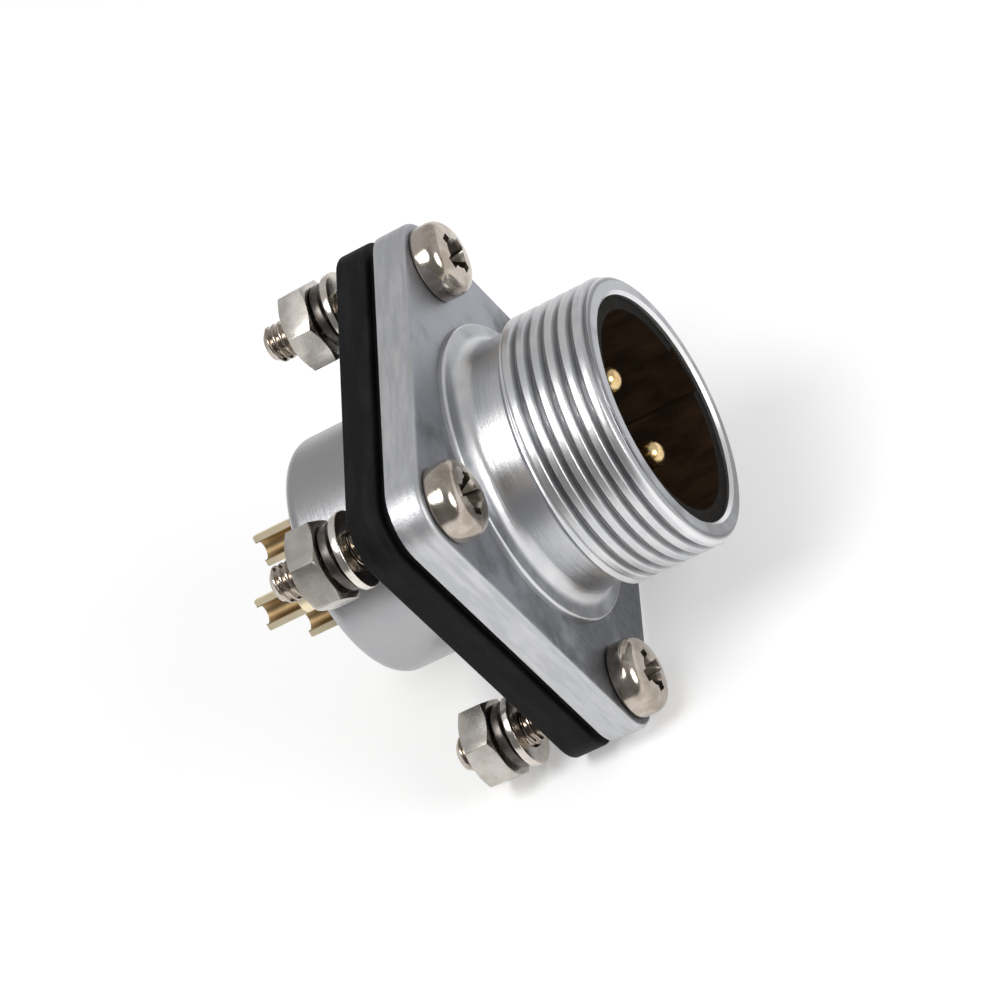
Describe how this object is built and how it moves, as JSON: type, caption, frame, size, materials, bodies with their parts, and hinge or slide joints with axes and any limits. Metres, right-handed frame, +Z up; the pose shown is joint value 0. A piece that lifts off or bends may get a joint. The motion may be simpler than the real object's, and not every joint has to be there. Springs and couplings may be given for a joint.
{
  "type": "circular connector receptacle",
  "caption": "Panel receptacle of a circular threaded connector: square flange, threaded front barrel, pin contacts in a keyed insulator, rear barrel with solder cups, gasket and fixing screws.",
  "frame": {"origin": "on the connector's axis, in the plane of the flange's rear face", "axes": "-Y out of the mouth, along the axis that the plug comes in by; +Y to the solder cups; +Z up; X across the flange"},
  "size_m": [0.026, 0.029, 0.026],
  "materials": {
    "shell_plating": "satin nickel plate",
    "insulator": "moulded phenolic",
    "rubber": "matt",
    "spring_steel": "bright",
    "contact_plating": "thin gold plate",
    "screw_plating": "bright nickel plate",
    "nut_plating": "bright nickel plate"
  },
  "bodies": {
    "root": {"shell": "shell_plating", "insulator_front": "insulator", "insert_seal": "rubber", "insulator_rear": "insulator", "retaining_ring": "spring_steel", "gasket": "rubber", "contact_1": "contact_plating", "contact_2": "contact_plating", "contact_3": "contact_plating", "screw_1": "screw_plating", "screw_2": "screw_plating", "screw_3": "screw_plating", "screw_4": "screw_plating", "flat_washer_1": "nut_plating", "flat_washer_2": "nut_plating", "flat_washer_3": "nut_plating", "flat_washer_4": "nut_plating", "spring_washer_1": "spring_steel", "spring_washer_2": "spring_steel", "spring_washer_3": "spring_steel", "spring_washer_4": "spring_steel", "nut_1": "nut_plating", "nut_2": "nut_plating", "nut_3": "nut_plating", "nut_4": "nut_plating"}
  },
  "joints": []
}
